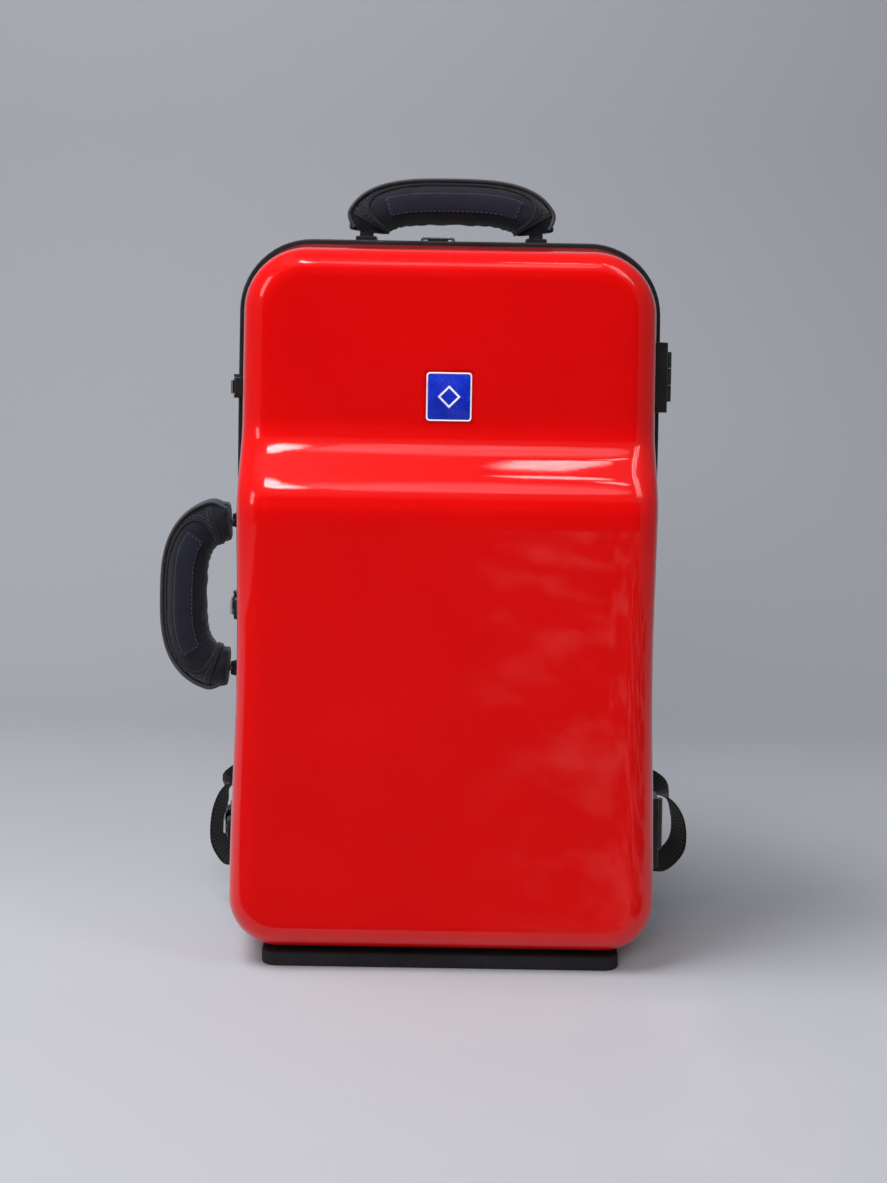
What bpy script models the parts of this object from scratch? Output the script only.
"""An upright moulded hard case for a wind instrument.

The case stands on its short end. +Z is up, the lid's face looks along -Y, and the origin is on the
floor under the middle of the case. The lid is hinged on the right (+X) and latched on the left (-X).
Lengths are in metres.
"""

import math

import bmesh
import bpy
from mathutils import Matrix, Vector

# ---- driving dimensions ----
BODY_BOTTOM = 0.0088  # underside of the shells above the floor
BODY_TOP = 0.608
WIDTH_BOTTOM = 0.369
WIDTH_TOP = 0.364
CORNER_BOTTOM = 0.048  # radius of the outline's two lower corners
CORNER_TOP = 0.060
WAIST = 0.018  # share by which the outline is drawn in at its waist
WAIST_Z = 0.250
WAIST_REACH = 0.110

PART_Y = 0.012  # the parting plane between the lid and the base
BASE_DEPTH = 0.092
LID_DEEP = 0.119  # lid depth below the step
LID_SHALLOW = 0.079  # and above it
STEP_TOP = 0.452
STEP_BOTTOM = 0.382
DRAFT = 0.006  # how far the walls lean in from the rim to the rounded edge
LID_EDGE = 0.025  # radius between the lid's walls and its face
BASE_EDGE = 0.034
WALL = 0.003
GAP = 0.0003  # left between pieces that touch

RIM_THICK = 0.0064
RIM_PROUD = 0.0035
RIM_INNER = 0.006
SEAL_OUTER = 0.0064
SEAL_INNER = 0.0084
LINER_OUTER = 0.0052
LINER_THICK = 0.008

INSERT_FRONT = PART_Y + RIM_THICK + 0.001  # front face of the foam insert
CAVITY_DEPTH = 0.060

HANDLE_Y = 0.058
TOP_HANDLE_HALF_SPAN = 0.077
SIDE_HANDLE_HALF_SPAN = 0.068
TOP_HANDLE_RISE = 0.0325
SIDE_HANDLE_RISE = 0.051
SIDE_HANDLE_Z = 0.288
PIVOT_HEIGHT = 0.0085  # handle pivot above the wall it stands on
BEAD_RADIUS = 0.0080
SADDLE_SLACK = 0.0004  # left round a bead in its saddle
STRAP_THICK = 0.004
STRAP_FOOT_WIDTH = 0.0105  # narrow enough at its feet to swing between a lug's cheeks
STRAP_FULL_WIDTH = 0.024
GRIP_ACROSS, GRIP_UP = 0.0175, 0.0190  # half-axes of the grip's section

HINGE_HEIGHTS = {"upper": 0.495, "lower": 0.096}
HINGE_HALF = 0.0305
KNUCKLE_RADIUS = 0.0046
KNUCKLE_HALF = 0.022
HINGE_PIN_RADIUS = 0.0018

LATCH_HEIGHTS = {"upper": 0.480, "middle": 0.285, "lower": 0.090}
LATCH_HALF = 0.0105

BADGE_Z = 0.477
BADGE_HALF_X = 0.0192
BADGE_HALF_Z = 0.0206
BADGE_RECESS = 0.0012

COVER_RIGHT = 0.148
COVER_WIDTH = 0.062
COVER_Z = (0.405, 0.555)
COVER_THICK = 0.003

RING_X = -0.012
BACK_FOOT = 0.014  # height of the feet on the back
RING_WIRE = 0.0013

STRAP_BACK_Y = PART_Y + BASE_DEPTH  # the flat of the case's back
STRAP_LOOP_REACH = {"left": 0.022, "right": 0.034}  # how far each strap's loop stands off the side


# ---- scene, materials and small helpers ----
def clear_scene():
    for obj in list(bpy.data.objects):
        bpy.data.objects.remove(obj, do_unlink=True)


def new_collection(name, hidden=False):
    collection = bpy.data.collections.new(name)
    bpy.context.scene.collection.children.link(collection)
    collection.hide_render = hidden
    return collection


def new_material(name, rgb, roughness, metallic=0.0):
    made = bpy.data.materials.new(name)
    made.use_nodes = True
    shader = made.node_tree.nodes["Principled BSDF"]
    shader.inputs["Base Color"].default_value = (*rgb, 1.0)
    shader.inputs["Roughness"].default_value = roughness
    shader.inputs["Metallic"].default_value = metallic
    return made


clear_scene()
CASE = new_collection("instrument_case")
CUTTERS = new_collection("cutters", hidden=True)

RED = new_material("red_gloss", (0.62, 0.002, 0.002), 0.06)
BLACK = new_material("black_shell", (0.020, 0.020, 0.022), 0.38)
TRIM = new_material("black_trim", (0.012, 0.012, 0.013), 0.45)
RUBBER = new_material("black_rubber", (0.010, 0.010, 0.010), 0.80)
STEEL = new_material("bright_steel", (0.62, 0.62, 0.64), 0.22, 1.0)
NEOPRENE = new_material("neoprene", (0.016, 0.019, 0.028), 0.75)
WEBBING = new_material("webbing", (0.012, 0.012, 0.012), 0.85)
PLUSH = new_material("grey_plush", (0.055, 0.055, 0.062), 0.95)
BLUE = new_material("blue_enamel", (0.008, 0.025, 0.42), 0.25)


def place(obj, material, collection=CASE):
    """Links the object, gives it its material, and hides it from renders if it is a cutter."""
    collection.objects.link(obj)
    if material is not None:
        obj.data.materials.clear()
        obj.data.materials.append(material)
    if collection is CUTTERS:
        obj.hide_render = True
        obj.display_type = "WIRE"
    return obj


def object_from(name, mesh_tool, material, collection=CASE, smooth=True):
    """An object from a bmesh, with its faces pointing out and its round parts shaded smooth."""
    bmesh.ops.recalc_face_normals(mesh_tool, faces=mesh_tool.faces)
    mesh = bpy.data.meshes.new(name)
    mesh_tool.to_mesh(mesh)
    mesh_tool.free()
    if smooth:
        mesh.shade_smooth()
        mesh.set_sharp_from_angle(angle=math.radians(40))
    return place(bpy.data.objects.new(name, mesh), material, collection)


def box(name, low, high, material=None, collection=CASE, bevel=0.0):
    tool = bmesh.new()
    size = Vector(high) - Vector(low)
    middle = (Vector(high) + Vector(low)) / 2
    matrix = Matrix.Translation(middle) @ Matrix.Diagonal((*size, 1.0))
    bmesh.ops.create_cube(tool, size=1.0, matrix=matrix)
    obj = object_from(name, tool, material, collection, smooth=False)
    if bevel:
        soften(obj, bevel)
    return obj


def cylinder(name, centre, direction, radius, length, material=None, collection=CASE, sides=20):
    tool = bmesh.new()
    turn = Vector(direction).to_track_quat("Z", "Y").to_matrix().to_4x4()
    bmesh.ops.create_cone(
        tool, cap_ends=True, segments=sides, radius1=radius, radius2=radius, depth=length,
        matrix=Matrix.Translation(centre) @ turn,
    )
    return object_from(name, tool, material, collection)


def soften(obj, width, segments=2):
    bevel = obj.modifiers.new("rounded_edges", "BEVEL")
    bevel.width = width
    bevel.segments = segments
    bevel.limit_method = "ANGLE"
    bevel.angle_limit = math.radians(40)


def combine(obj, other, operation):
    modifier = obj.modifiers.new(operation.lower() + "_" + other.name, "BOOLEAN")
    modifier.operation = operation
    modifier.object = other


def cut(obj, *cutters):
    for cutter in cutters:
        combine(obj, cutter, "DIFFERENCE")


def plate(name, outline, low, high, material=None, collection=CASE, upright=False):
    """A flat outline given thickness. Outline points are (x, y) and low to high is along Z.

    With upright set, outline points are (x, z) and low to high is along Y.
    """
    curve = bpy.data.curves.new(name, "CURVE")
    curve.dimensions = "2D"
    curve.fill_mode = "BOTH"
    curve.extrude = (high - low) / 2
    spline = curve.splines.new("POLY")
    spline.points.add(len(outline) - 1)
    for point, (a, b) in zip(spline.points, outline):
        point.co = (a, b, 0.0, 1.0)
    spline.use_cyclic_u = True
    drawn = bpy.data.objects.new(name + "_drawn", curve)
    bpy.context.scene.collection.objects.link(drawn)
    graph = bpy.context.evaluated_depsgraph_get()
    mesh = bpy.data.meshes.new_from_object(drawn.evaluated_get(graph))
    bpy.data.objects.remove(drawn, do_unlink=True)
    middle = (low + high) / 2
    if upright:
        # (x, z, depth) becomes (x, depth, z): a turn about X, then the depth's sign is put right.
        place_matrix = Matrix(((1, 0, 0, 0), (0, 0, -1, middle), (0, 1, 0, 0), (0, 0, 0, 1)))
    else:
        place_matrix = Matrix.Translation((0, 0, middle))
    tool = bmesh.new()
    tool.from_mesh(mesh)
    bmesh.ops.transform(tool, matrix=place_matrix, verts=tool.verts)
    bmesh.ops.remove_doubles(tool, verts=tool.verts, dist=1e-6)
    return object_from(name, tool, material, collection)


def loft(name, sections, material=None, collection=CASE):
    """A closed solid through sections that have the same number of points."""
    tool = bmesh.new()
    rings = [[tool.verts.new(point) for point in section] for section in sections]
    count = len(rings[0])
    for first, second in zip(rings, rings[1:]):
        for i in range(count):
            j = (i + 1) % count
            tool.faces.new((first[i], first[j], second[j], second[i]))
    tool.faces.new(rings[0][::-1])
    tool.faces.new(rings[-1])
    return object_from(name, tool, material, collection)


def smooth_path(points, steps):
    """A Catmull-Rom curve through the points, with the same number of steps in each span."""
    known = [Vector(p) for p in points]
    known = [2 * known[0] - known[1], *known, 2 * known[-1] - known[-2]]
    made = []
    for i in range(1, len(known) - 2):
        for step in range(steps):
            t = step / steps
            a, b, c, d = known[i - 1 : i + 3]
            bend = (2 * a - 5 * b + 4 * c - d) * t**2 + (3 * b - a - 3 * c + d) * t**3
            made.append(0.5 * (2 * b + (c - a) * t + bend))
    return [*made, known[-2]]


def ribbon(name, path, across, width, thickness, material=None, collection=CASE):
    """A flat strap along a path. across(share) gives its width's direction along the way."""
    sections = []
    for i, point in enumerate(path):
        ahead = path[min(i + 1, len(path) - 1)] - path[max(i - 1, 0)]
        share = i / (len(path) - 1)
        side = Vector(across(share))
        side = (side - side.project(ahead)).normalized()
        up = ahead.cross(side).normalized()
        half_width = (width(share) if callable(width) else width) / 2
        half_thick = thickness / 2
        corners = ((-1, -1), (1, -1), (1, 1), (-1, 1))
        sections.append([point + side * half_width * a + up * half_thick * b for a, b in corners])
    return loft(name, sections, material, collection)


# ---- the case's outline and its moulded surfaces ----
ARC_STEPS = 5
EDGE_TURNS = 4  # steps round the edge between walls and face
COLUMNS = 6
SIDE_STEPS = 4  # plain stretches of the side, below and above the step
STEP_STEPS = 7


def half_width(z):
    """Half the outline's width on its straight sides, at the parting plane."""
    share = (z - BODY_BOTTOM) / (BODY_TOP - BODY_BOTTOM)
    straight = (WIDTH_BOTTOM + (WIDTH_TOP - WIDTH_BOTTOM) * share) / 2
    return straight * waist(z)


def waist(z):
    return 1 - WAIST * math.exp(-(((z - WAIST_Z) / WAIST_REACH) ** 2))


def side_heights():
    low, high = BODY_BOTTOM + CORNER_BOTTOM, BODY_TOP - CORNER_TOP
    below = [low + (STEP_BOTTOM - low) * i / (SIDE_STEPS + 2) for i in range(1, SIDE_STEPS + 2)]
    step = [STEP_BOTTOM + (STEP_TOP - STEP_BOTTOM) * i / STEP_STEPS for i in range(STEP_STEPS + 1)]
    above = [STEP_TOP + (high - STEP_TOP) * i / 3 for i in (1, 2)]
    return [(z - low) / (high - low) for z in (*below, *step, *above)]


def right_side(inset):
    """The outline's right half from the bottom edge to the top edge, as (x, z), moved in by inset."""
    lean = (WIDTH_TOP - WIDTH_BOTTOM) / 2 / (BODY_TOP - BODY_BOTTOM)
    tilt = math.atan(-lean)

    def arc(centre_z, radius, start, end):
        edge_x = WIDTH_BOTTOM / 2 + (centre_z - BODY_BOTTOM) * lean
        centre_x = edge_x - radius / math.cos(tilt)
        for i in range(ARC_STEPS + 1):
            angle = start + (end - start) * i / ARC_STEPS
            yield (
                centre_x + (radius - inset) * math.cos(angle),
                centre_z + (radius - inset) * math.sin(angle),
            )

    lower = list(arc(BODY_BOTTOM + CORNER_BOTTOM, CORNER_BOTTOM, -math.pi / 2, tilt))
    upper = list(arc(BODY_TOP - CORNER_TOP, CORNER_TOP, tilt, math.pi / 2))
    (x0, z0), (x1, z1) = lower[-1], upper[0]
    side = [(x0 + (x1 - x0) * s, z0 + (z1 - z0) * s) for s in side_heights()]
    return [(x * waist(z), z) for x, z in (*lower, *side, *upper)]


def outline(inset):
    """The whole outline as one loop: bottom edge, right side, top edge, left side."""
    right = right_side(inset)
    bottom_x, bottom_z = right[0]
    top_x, top_z = right[-1]
    shares = [2 * i / COLUMNS - 1 for i in range(1, COLUMNS)]
    bottom = [(bottom_x * s, bottom_z) for s in shares]
    top = [(-top_x * s, top_z) for s in shares]
    left = [(-x, z) for x, z in reversed(right)]
    return [*bottom, *right, *top, *left]


def lid_depth(z):
    """How far the lid's face stands in front of the parting plane at a height."""
    share = min(1.0, max(0.0, (STEP_TOP - z) / (STEP_TOP - STEP_BOTTOM)))
    return LID_SHALLOW + (LID_DEEP - LID_SHALLOW) * share * share * (3 - 2 * share)


def base_depth(z):
    return BASE_DEPTH


def moulding(depth, side, radius, start, offset):
    """A bmesh of a moulded half, from its edge to its face, moved in by offset.

    depth(z) is the face's distance from the parting plane, side is -1 for the lid and 1 for the
    base, and start is the edge's distance from the parting plane.
    """
    tool = bmesh.new()
    edge_radius = radius - offset
    edge = []
    for (x, z), (leaned_x, leaned_z) in zip(outline(offset), outline(offset + DRAFT)):
        share = start / (depth(z) - radius)
        point = (x + (leaned_x - x) * share, PART_Y + side * start, z + (leaned_z - z) * share)
        edge.append(tool.verts.new(point))
    loops = [edge]
    for i in range(EDGE_TURNS + 1):
        angle = math.pi / 2 * i / EDGE_TURNS
        inset = offset + DRAFT + edge_radius * (1 - math.cos(angle))
        drop = offset + edge_radius * (1 - math.sin(angle))
        loops.append(
            [tool.verts.new((x, PART_Y + side * (depth(z) - drop), z)) for x, z in outline(inset)]
        )
    count = len(loops[0])
    for outer, inner in zip(loops, loops[1:]):
        for i in range(count):
            j = (i + 1) % count
            tool.faces.new((outer[i], outer[j], inner[j], inner[i]))
    fill_face(tool, loops[-1], lambda z: PART_Y + side * (depth(z) - offset))
    return tool, loops[0]


def fill_face(tool, loop, face_y):
    """Fills the innermost loop with rows of faces from side to side."""
    rows = len(right_side(0.0))
    bottom = [loop[-1], *loop[: COLUMNS - 1], loop[COLUMNS - 1]]
    right = loop[COLUMNS - 1 : COLUMNS - 1 + rows]
    top = loop[COLUMNS - 2 + rows : 2 * COLUMNS - 1 + rows][::-1]
    left = loop[2 * COLUMNS - 2 + rows :][::-1]
    previous = bottom
    for i in range(1, rows):
        if i == rows - 1:
            current = [left[i], *top[1:-1], right[i]]
        else:
            start, end = left[i].co, right[i].co
            current = [left[i]]
            for j in range(1, COLUMNS):
                x = start.x + (end.x - start.x) * j / COLUMNS
                current.append(tool.verts.new((x, face_y(start.z), start.z)))
            current.append(right[i])
        for j in range(COLUMNS):
            tool.faces.new((previous[j], previous[j + 1], current[j + 1], current[j]))
        previous = current


def shell(name, depth, side, radius, start, offset, thickness, material):
    """A moulded half as an open surface with a wall thickness."""
    tool, _ = moulding(depth, side, radius, start, offset)
    bmesh.ops.recalc_face_normals(tool, faces=tool.faces)
    front = max(tool.faces, key=lambda face: face.calc_center_median().y * side)
    if front.normal.y * side < 0:
        bmesh.ops.reverse_faces(tool, faces=tool.faces)
    mesh = bpy.data.meshes.new(name)
    tool.to_mesh(mesh)
    tool.free()
    mesh.shade_smooth()
    obj = place(bpy.data.objects.new(name, mesh), material)
    solid = obj.modifiers.new("wall", "SOLIDIFY")
    solid.thickness = thickness
    solid.offset = -1.0
    solid.use_even_offset = True
    return obj


def solid_half(name, depth, side, radius, start, offset, material=None, collection=CUTTERS):
    """A moulded half as a closed block, for the foam insert and for cutting what sits on a shell."""
    tool, edge = moulding(depth, side, radius, start, offset)
    tool.faces.new(edge)
    return object_from(name, tool, material, collection)


def rim_ring(name, outset, inset, near, far, material, collection=CASE):
    """A flat frame that follows the outline, from outset outside it to inset inside it."""
    tool = bmesh.new()
    corners = [
        [tool.verts.new((x, y, z)) for x, z in outline(move)]
        for move, y in ((-outset, near), (-outset, far), (inset, far), (inset, near))
    ]
    count = len(corners[0])
    for first, second in zip(corners, [*corners[1:], corners[0]]):
        for i in range(count):
            j = (i + 1) % count
            tool.faces.new((first[i], first[j], second[j], second[i]))
    return object_from(name, tool, material, collection)


SHELL_START = RIM_THICK + 0.0008
LID_CUT = solid_half("lid_cutter", lid_depth, -1, LID_EDGE, 0.0, -GAP)
BASE_CUT = solid_half("base_cutter", base_depth, 1, BASE_EDGE, 0.0, -GAP)


def rim_cutter():
    tool = bmesh.new()
    reach = RIM_PROUD + GAP
    near, far = PART_Y - RIM_THICK - GAP, PART_Y + RIM_THICK + GAP
    loops = [[tool.verts.new((x, y, z)) for x, z in outline(-reach)] for y in (near, far)]
    count = len(loops[0])
    for i in range(count):
        j = (i + 1) % count
        tool.faces.new((loops[0][i], loops[0][j], loops[1][j], loops[1][i]))
    tool.faces.new(loops[0])
    tool.faces.new(loops[1])
    return object_from("rim_cutter", tool, None, CUTTERS)


RIM_CUT = rim_cutter()


def make_shells():
    shell("base_shell", base_depth, 1, BASE_EDGE, SHELL_START, 0.0, WALL, BLACK)
    lid = shell("lid_shell", lid_depth, -1, LID_EDGE, SHELL_START, 0.0, WALL, RED)
    face_y = PART_Y - LID_SHALLOW
    margin = 0.0022
    recess = box(
        "badge_recess_cutter",
        (-BADGE_HALF_X - margin, face_y - 0.01, BADGE_Z - BADGE_HALF_Z - margin),
        (BADGE_HALF_X + margin, face_y + BADGE_RECESS, BADGE_Z + BADGE_HALF_Z + margin),
        collection=CUTTERS,
    )
    cut(lid, recess)
    rim_ring("base_rim", RIM_PROUD, RIM_INNER, PART_Y + GAP, PART_Y + RIM_THICK, TRIM)
    rim_ring("lid_rim", RIM_PROUD, RIM_INNER, PART_Y - RIM_THICK, PART_Y - GAP, TRIM)
    rim_ring("lid_seal", -SEAL_OUTER, SEAL_INNER, PART_Y - RIM_THICK, PART_Y + 0.004, RUBBER)
    shell(
        "lid_liner", lid_depth, -1, LID_EDGE, RIM_THICK + 0.001, LINER_OUTER, LINER_THICK, PLUSH
    )


def make_badge():
    """The shop badge: a metal frame with an enamelled plate in it."""
    floor_y = PART_Y - LID_SHALLOW + BADGE_RECESS - GAP
    frame = box(
        "badge_frame",
        (-BADGE_HALF_X, floor_y - 0.0016, BADGE_Z - BADGE_HALF_Z),
        (BADGE_HALF_X, floor_y, BADGE_Z + BADGE_HALF_Z),
        STEEL,
    )
    border = 0.0016
    window = box(
        "badge_window_cutter",
        (-BADGE_HALF_X + border, floor_y - 0.01, BADGE_Z - BADGE_HALF_Z + border),
        (BADGE_HALF_X - border, floor_y - 0.0006, BADGE_Z + BADGE_HALF_Z - border),
        collection=CUTTERS,
    )
    cut(frame, window)
    inside = border + GAP
    box(
        "badge_plate",
        (-BADGE_HALF_X + inside, floor_y - 0.0014, BADGE_Z - BADGE_HALF_Z + inside),
        (BADGE_HALF_X - inside, floor_y - 0.0006 - GAP, BADGE_Z + BADGE_HALF_Z - inside),
        BLUE,
    )


# ---- the foam insert and its covered compartment ----
def rounded(low_x, high_x, low_z, high_z, radius, steps=4):
    points = []
    for cx, cz, start in (
        (high_x - radius, low_z + radius, -90), (high_x - radius, high_z - radius, 0),
        (low_x + radius, high_z - radius, 90), (low_x + radius, low_z + radius, 180),
    ):
        for i in range(steps + 1):
            angle = math.radians(start + 90 * i / steps)
            points.append((cx + radius * math.cos(angle), cz + radius * math.sin(angle)))
    return points


def pocket(name, points, depth):
    return plate(name, points, INSERT_FRONT - 0.01, INSERT_FRONT + depth, None, CUTTERS, upright=True)


def make_insert():
    insert = solid_half(
        "base_insert", base_depth, 1, BASE_EDGE, INSERT_FRONT - PART_Y, WALL + 0.0005, PLUSH, CASE
    )
    body_channel = pocket(
        "body_channel_cutter",
        [(-0.138, 0.150), (-0.118, 0.578), (-0.040, 0.578), (-0.018, 0.150)],
        CAVITY_DEPTH,
    )
    bow_pocket = pocket("bow_cutter", rounded(-0.148, 0.148, 0.032, 0.176, 0.055, 6), CAVITY_DEPTH)
    bell_pocket = pocket("bell_cutter", rounded(0.012, 0.148, 0.116, 0.332, 0.045, 5), CAVITY_DEPTH)
    neck_pocket = pocket("neck_cutter", rounded(0.004, 0.060, 0.360, 0.568, 0.018), CAVITY_DEPTH - 0.006)
    cover_left = COVER_RIGHT - COVER_WIDTH
    low, high = COVER_Z
    ledge = 0.005
    rebate = pocket(
        "rebate_cutter",
        rounded(cover_left - GAP, COVER_RIGHT + GAP, low - GAP, high + GAP, 0.004, 2),
        COVER_THICK + 0.0005,
    )
    box_pocket = pocket(
        "accessory_cutter",
        rounded(cover_left + ledge, COVER_RIGHT - ledge, low + ledge, high - ledge, 0.008),
        CAVITY_DEPTH - 0.006,
    )
    cut(insert, body_channel, bow_pocket, bell_pocket, neck_pocket, rebate, box_pocket)


def make_cover():
    low, high = COVER_Z
    cover_left = COVER_RIGHT - COVER_WIDTH
    plate(
        "accessory_cover",
        rounded(cover_left + GAP, COVER_RIGHT - GAP, low + GAP, high - GAP, 0.0035, 2),
        INSERT_FRONT, INSERT_FRONT + COVER_THICK, PLUSH, upright=True,
    )
    middle = (low + high) / 2
    box(
        "accessory_cover_tab",
        (cover_left + 0.004, INSERT_FRONT - GAP - 0.0012, middle - 0.010),
        (cover_left + 0.024, INSERT_FRONT - GAP, middle + 0.010),
        WEBBING,
    )


# ---- feet ----
def make_feet():
    block_top = BODY_BOTTOM + 0.003
    for name, near, far, cutter in (
        ("base_bumper", PART_Y + 0.009, PART_Y + BASE_DEPTH - 0.020, BASE_CUT),
        ("lid_bumper", PART_Y - LID_DEEP + 0.013, PART_Y - 0.009, LID_CUT),
    ):
        bumper = plate(name, rounded(-0.150, 0.150, near, far, 0.012, 3), 0.0, block_top, RUBBER)
        cut(bumper, cutter)
    for side, x in (("left", -0.122), ("right", 0.122)):
        for level, z in (("lower", 0.055), ("upper", 0.566)):
            cylinder(
                f"back_foot_{level}_{side}", (x, STRAP_BACK_Y + GAP + BACK_FOOT / 2, z), (0, 1, 0),
                0.010, BACK_FOOT, RUBBER, sides=16,
            )


# ---- hinges, on the right ----
HINGE_X = half_width(HINGE_HEIGHTS["lower"] - HINGE_HALF) + RIM_PROUD + GAP + KNUCKLE_RADIUS


def make_leaf(name, z, side, knuckles, material):
    """A hinge leaf on the lid (side -1) or the base (side 1), with its knuckles and their webs."""
    outer_x = HINGE_X - KNUCKLE_RADIUS
    ends = sorted((PART_Y + side * 0.0085, PART_Y + side * 0.034))
    leaf = box(
        name, (outer_x - 0.009, ends[0], z - HINGE_HALF), (outer_x + 0.0016, ends[1], z + HINGE_HALF),
        material,
    )
    soften(leaf, 0.0008)
    for i, (low, high) in enumerate(knuckles):
        barrel = cylinder(
            f"{name}_barrel_{i}", (HINGE_X, PART_Y, z + (low + high) / 2), (0, 0, 1),
            KNUCKLE_RADIUS, high - low, collection=CUTTERS,
        )
        web_ends = sorted((PART_Y + side * 0.0002, PART_Y + side * 0.012))
        web = box(
            f"{name}_web_{i}", (outer_x, web_ends[0], z + low), (HINGE_X, web_ends[1], z + high),
            collection=CUTTERS,
        )
        combine(leaf, web, "UNION")
        combine(leaf, barrel, "UNION")
    bore = cylinder(
        name + "_bore_cutter", (HINGE_X, PART_Y, z), (0, 0, 1), HINGE_PIN_RADIUS + GAP, 0.08,
        collection=CUTTERS,
    )
    cut(leaf, bore, BASE_CUT if side > 0 else LID_CUT, RIM_CUT)


def make_hinges():
    slit = 0.0002
    outer = KNUCKLE_HALF
    inner = 0.0075
    for level, z in HINGE_HEIGHTS.items():
        make_leaf(f"hinge_{level}_base_leaf", z, 1, [(-outer, -inner - slit), (inner + slit, outer)], TRIM)
        make_leaf(f"hinge_{level}_lid_leaf", z, -1, [(-inner + slit, inner - slit)], TRIM)
        cylinder(
            f"hinge_{level}_pin", (HINGE_X, PART_Y, z), (0, 0, 1), HINGE_PIN_RADIUS,
            2 * KNUCKLE_HALF + 0.001, STEEL, sides=16,
        )


# ---- latches, on the left ----
LATCH_SLIM = 0.8  # the latch profiles below are drawn full and pressed flatter by this
PIVOT_U, PIVOT_V = 0.0052, 0.0160  # lever pivot: out from the rim's face, back from the parting plane
CLAW_U, CLAW_V = 0.0044, 0.0250  # claw pivot on the lever
LATCH_PIN_RADIUS = 0.0010
ARM_INNER = 0.0062  # the lever's arms stand this far from the latch's middle
ARM_OUTER = 0.0078
EAR_INNER = 0.0082


def latch_face(z):
    """X of the plane that a latch is built out from: just clear of the rim at its widest."""
    widest = max(half_width(z - LATCH_HALF), half_width(z + LATCH_HALF))
    return -(widest + RIM_PROUD + GAP)


def make_latch(level, z):
    face = latch_face(z)

    def at(points):
        return [(face - u * LATCH_SLIM, PART_Y + v) for u, v in points]

    def side_plate(name, points, half, material=None, collection=CASE):
        return plate(name, at(points), z - half, z + half, material, collection)

    def cross_bore(name, u, v, radius):
        return cylinder(
            f"latch_{level}_{name}", (face - u * LATCH_SLIM, PART_Y + v, z), (0, 0, 1), radius, 0.04,
            collection=CUTTERS, sides=16,
        )

    ears = side_plate(
        f"latch_{level}_plate",
        [(-0.008, 0.0085), (0.0012, 0.0085), (0.0060, 0.0118), (0.0080, 0.0140), (0.0080, 0.0180),
         (0.0060, 0.0204), (0.0012, 0.0236), (0.0012, 0.0500), (-0.008, 0.0500)],
        LATCH_HALF, TRIM,
    )
    slot = box(
        f"latch_{level}_ear_slot", (face - 0.02, PART_Y, z - EAR_INNER),
        (face - 0.0010, PART_Y + 0.06, z + EAR_INNER), collection=CUTTERS,
    )
    lever_bore = cross_bore("lever_bore", PIVOT_U, PIVOT_V, LATCH_PIN_RADIUS + GAP)
    cut(ears, slot, lever_bore, BASE_CUT, RIM_CUT)

    lever = side_plate(
        f"latch_{level}_lever",
        [(0.0030, 0.0138), (0.0052, 0.0130), (0.0074, 0.0138), (0.0078, 0.0160), (0.0076, 0.0200),
         (0.0064, 0.0280), (0.0058, 0.0360), (0.0080, 0.0430), (0.0068, 0.0436), (0.0040, 0.0385),
         (0.0022, 0.0340), (0.0022, 0.0200), (0.0026, 0.0160)],
        ARM_OUTER, TRIM,
    )
    arm_slot = box(
        f"latch_{level}_arm_slot", (face - 0.02, PART_Y + 0.005, z - ARM_INNER),
        (face + 0.01, PART_Y + 0.0285, z + ARM_INNER), collection=CUTTERS,
    )
    claw_bore = cross_bore("claw_bore", CLAW_U, CLAW_V, LATCH_PIN_RADIUS + GAP)
    cut(lever, arm_slot, lever_bore, claw_bore)

    claw = side_plate(
        f"latch_{level}_claw",
        [(0.0030, 0.0268), (0.0060, 0.0268), (0.0090, 0.0190), (0.0092, 0.0060), (0.0072, -0.0130),
         (0.0046, -0.0150), (0.0040, -0.0118), (0.0058, -0.0100), (0.0074, 0.0060), (0.0072, 0.0178),
         (0.0030, 0.0236)],
        ARM_INNER - 0.0004, STEEL,
    )
    trunnion = cylinder(
        f"latch_{level}_trunnion", (face - CLAW_U * LATCH_SLIM, PART_Y + CLAW_V, z), (0, 0, 1),
        LATCH_PIN_RADIUS, 2 * ARM_OUTER - 0.0004, collection=CUTTERS, sides=16,
    )
    combine(claw, trunnion, "UNION")

    cylinder(
        f"latch_{level}_pin", (face - PIVOT_U * LATCH_SLIM, PART_Y + PIVOT_V, z), (0, 0, 1),
        LATCH_PIN_RADIUS, 2 * LATCH_HALF, STEEL, sides=16,
    )
    keeper = side_plate(
        f"latch_{level}_keeper",
        [(-0.010, -0.0250), (0.0010, -0.0250), (0.0018, -0.0205), (0.0018, -0.0170), (0.0034, -0.0140),
         (0.0034, -0.0115), (0.0018, -0.0095), (-0.0005, -0.0085), (-0.010, -0.0085)],
        LATCH_HALF - 0.002, TRIM,
    )
    cut(keeper, LID_CUT, RIM_CUT)


# ---- handles ----
def arch(share, half_span, rise):
    """A squarish arch: (along, up) for share 0 to 1 from one foot to the other."""
    angle = math.pi * (1 - share)
    along = math.copysign(abs(math.cos(angle)) ** (2 / 3), math.cos(angle)) * half_span
    return along, abs(math.sin(angle)) ** (2 / 3) * rise


def span_of(*points):
    """The lowest and the highest corner of the box round some points."""
    low = [min(point[i] for point in points) for i in range(3)]
    high = [max(point[i] for point in points) for i in range(3)]
    return low, high


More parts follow.
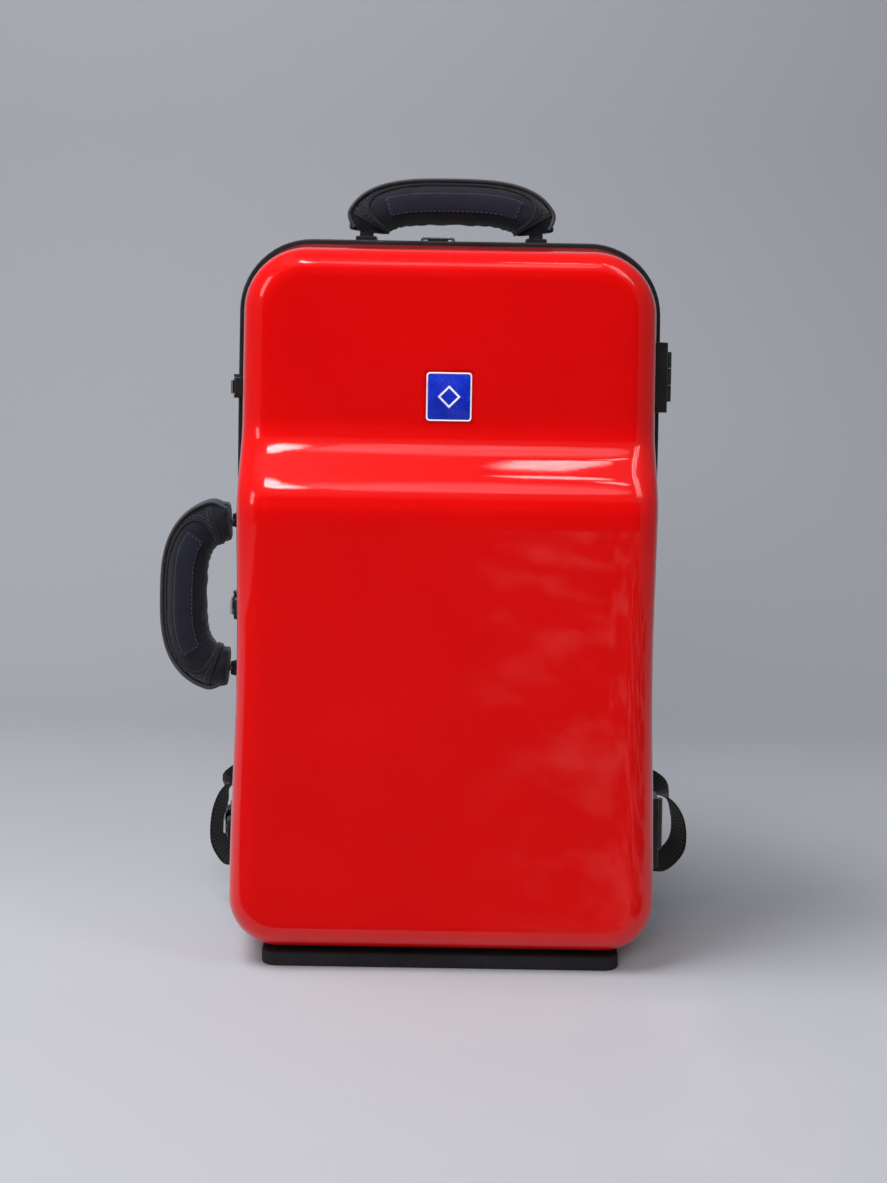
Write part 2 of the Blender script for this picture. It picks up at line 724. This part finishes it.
def make_handle(name, origin, along, out, half_span, rise):
    """A padded strap handle. Its feet are round beads that turn in saddles on the case."""
    origin, along, out = Vector(origin), Vector(along), Vector(out)
    across = Vector((0, 1, 0))

    def on_arch(share):
        a, b = arch(share, half_span, rise)
        return origin + along * a + out * (PIVOT_HEIGHT + b)

    steps = 24
    path = [on_arch(i / steps) for i in range(steps + 1)]

    def strap_width(share):
        widened = min(1.0, max(0.0, min(share, 1 - share) - 0.03) / 0.09)
        return STRAP_FOOT_WIDTH + (STRAP_FULL_WIDTH - STRAP_FOOT_WIDTH) * widened

    strap = ribbon(f"{name}_strap", path, lambda share: across, strap_width, STRAP_THICK, WEBBING)
    sleeve_cut = ribbon(
        f"{name}_strap_cutter", path, lambda share: across, lambda share: strap_width(share) + 2 * GAP,
        STRAP_THICK + 2 * GAP, None, CUTTERS,
    )
    for end, share in (("low", 0.0), ("high", 1.0)):
        bead = cylinder(
            f"{name}_bead_{end}", on_arch(share), along, BEAD_RADIUS, 0.012, collection=CUTTERS, sides=20
        )
        combine(strap, bead, "UNION")

    first, last, turns = 0.07, 0.93, 18
    sections = []
    for i in range(turns + 1):
        share = first + (last - first) * i / turns
        ahead = (on_arch(share + 0.004) - on_arch(share - 0.004)).normalized()
        up = ahead.cross(across).normalized()
        end_share = min(i, turns - i) / turns
        fullness = 0.68 + 0.32 * min(1.0, end_share / 0.20) ** 0.6
        ring = []
        for k in range(12):
            angle = 2 * math.pi * k / 12
            ring.append(
                on_arch(share) + across * math.cos(angle) * GRIP_ACROSS * fullness
                + up * math.sin(angle) * GRIP_UP * fullness
            )
        sections.append(ring)
    grip = loft(f"{name}_grip", sections, NEOPRENE)
    cut(grip, sleeve_cut)

    for end, share in (("low", 0.0), ("high", 1.0)):
        foot = on_arch(share)
        size = along * 0.0095 + across * 0.0125
        depth = out * (PIVOT_HEIGHT + 0.006)
        top = out * 0.0005
        lug = box(
            f"{name}_lug_{end}",
            *span_of(foot - size - depth, foot + size - depth, foot - size + top, foot + size + top),
            TRIM, bevel=0.0012,
        )
        saddle = cylinder(
            f"{name}_saddle_{end}", foot, along, BEAD_RADIUS + SADDLE_SLACK, 0.0128,
            collection=CUTTERS, sides=20,
        )
        half = across * (BEAD_RADIUS + SADDLE_SLACK) + along * 0.0064
        above = out * 0.012
        mouth = box(
            f"{name}_mouth_{end}",
            *span_of(foot - half, foot + half, foot - half + above, foot + half + above),
            collection=CUTTERS,
        )
        cut(lug, BASE_CUT, saddle, mouth)


# ---- backpack straps, on the back ----
def make_backpack_strap(side_name, side):
    back = STRAP_BACK_Y + GAP
    edge = half_width(0.09)
    top_x = side * 0.052
    box(
        f"strap_{side_name}_top_anchor",
        (top_x - 0.021, back, 0.548), (top_x + 0.021, back + 0.005, 0.566), TRIM, bevel=0.001,
    )
    top_path = smooth_path(
        [(top_x, back + 0.0065, 0.560), (side * 0.053, back + 0.0095, 0.543),
         (side * 0.054, back + 0.0075, 0.520)], 4,
    )
    ribbon(f"strap_{side_name}_top_webbing", top_path, lambda s: (1, 0, 0), 0.030, 0.0016, WEBBING)

    pad_path = smooth_path(
        [(side * 0.054, back + 0.0065, 0.516), (side * 0.057, back + 0.0080, 0.430),
         (side * 0.066, back + 0.0085, 0.320), (side * 0.082, back + 0.0080, 0.215),
         (side * 0.090, back + 0.0066, 0.172)], 3,
    )

    def pad_width(share):
        return 0.038 + 0.020 * math.sin(math.pi * min(1.0, max(0.0, share))) ** 0.5

    ribbon(f"strap_{side_name}_pad", pad_path, lambda s: (1, 0, 0), pad_width, 0.009, NEOPRENE)

    buckle_x = side * 0.0935
    buckle = box(
        f"strap_{side_name}_buckle",
        (buckle_x - 0.0175, back + 0.004, 0.143), (buckle_x + 0.0175, back + 0.009, 0.1675), TRIM,
    )
    for i, z in enumerate((0.147, 0.157)):
        window = box(
            f"strap_{side_name}_buckle_slot_{i}",
            (buckle_x - 0.0135, back, z), (buckle_x + 0.0135, back + 0.02, z + 0.006),
            collection=CUTTERS,
        )
        cut(buckle, window)

    out = STRAP_LOOP_REACH[side_name]
    route = [
        (buckle_x + side * 0.004, back + 0.0026, 0.1360), (side * 0.1150, back + 0.0026, 0.1280),
        (side * 0.1450, back + 0.0026, 0.1200), (side * (edge - 0.004), back - 0.006, 0.1160),
        (side * (edge + 0.60 * out), back - 0.024, 0.1060), (side * (edge + out), back - 0.036, 0.0860),
        (side * (edge + out), back - 0.039, 0.0620), (side * (edge + 0.60 * out), back - 0.039, 0.0460),
        (side * (edge + 0.0065), back - 0.039, 0.0440),
    ]

    def across(share):
        """The webbing lies flat on the back, then turns to face sideways where it loops out."""
        turn = min(1.0, max(0.0, (share - 0.25) / 0.35))
        return Vector((0, 0, 1)).lerp(Vector((0, 1, 0.25)), turn * turn * (3 - 2 * turn))

    ribbon(f"strap_{side_name}_lower_webbing", smooth_path(route, 3), across, 0.025, 0.0016, WEBBING)

    wall = side * edge
    low_x, high_x = sorted((wall - side * 0.010, wall + side * 0.0058))
    anchor = box(
        f"strap_{side_name}_side_anchor", (low_x, back - 0.053, 0.036), (high_x, back - 0.027, 0.052),
        TRIM, bevel=0.001,
    )
    cut(anchor, BASE_CUT)


def make_top_ring():
    """A small D-ring in a bracket on top, just behind the rim."""
    y = PART_Y + RIM_THICK + 0.0065
    z = BODY_TOP + 0.0035
    bracket = box(
        "top_ring_bracket", (RING_X - 0.009, y - 0.0035, z - 0.010), (RING_X + 0.009, y + 0.0035, z + 0.0028),
        TRIM,
    )
    bore = cylinder("ring_bore_cutter", (RING_X, y, z), (1, 0, 0), RING_WIRE + GAP, 0.05, collection=CUTTERS)
    cut(bracket, BASE_CUT, bore)

    tilt = math.radians(15)
    half, reach, corner = 0.0145, 0.0150, 0.0045
    flat = [(-half, 0.0), (half, 0.0)]
    for cx, start in ((half - corner, 0), (corner - half, 90)):
        for i in range(4):
            angle = math.radians(start + 30 * i)
            flat.append((cx + corner * math.cos(angle), reach - corner + corner * math.sin(angle)))
    curve = bpy.data.curves.new("top_ring", "CURVE")
    curve.dimensions = "3D"
    curve.bevel_depth = RING_WIRE
    curve.bevel_resolution = 2
    spline = curve.splines.new("POLY")
    spline.points.add(len(flat) - 1)
    for point, (along, out) in zip(spline.points, flat):
        point.co = (along, out * math.cos(tilt), out * math.sin(tilt), 1.0)
    spline.use_cyclic_u = True
    ring = place(bpy.data.objects.new("top_ring", curve), STEEL)
    ring.location = (RING_X, y, z)


def main():
    make_shells()
    make_badge()
    make_insert()
    make_cover()
    make_feet()
    make_hinges()
    for level, z in LATCH_HEIGHTS.items():
        make_latch(level, z)
    make_handle(
        "top_handle", (0, HANDLE_Y, BODY_TOP), (1, 0, 0), (0, 0, 1), TOP_HANDLE_HALF_SPAN,
        TOP_HANDLE_RISE,
    )
    make_handle(
        "side_handle", (-half_width(SIDE_HANDLE_Z) + 0.001, HANDLE_Y, SIDE_HANDLE_Z), (0, 0, 1),
        (-1, 0, 0), SIDE_HANDLE_HALF_SPAN, SIDE_HANDLE_RISE,
    )
    make_top_ring()
    for side_name, side in (("left", -1), ("right", 1)):
        make_backpack_strap(side_name, side)


main()
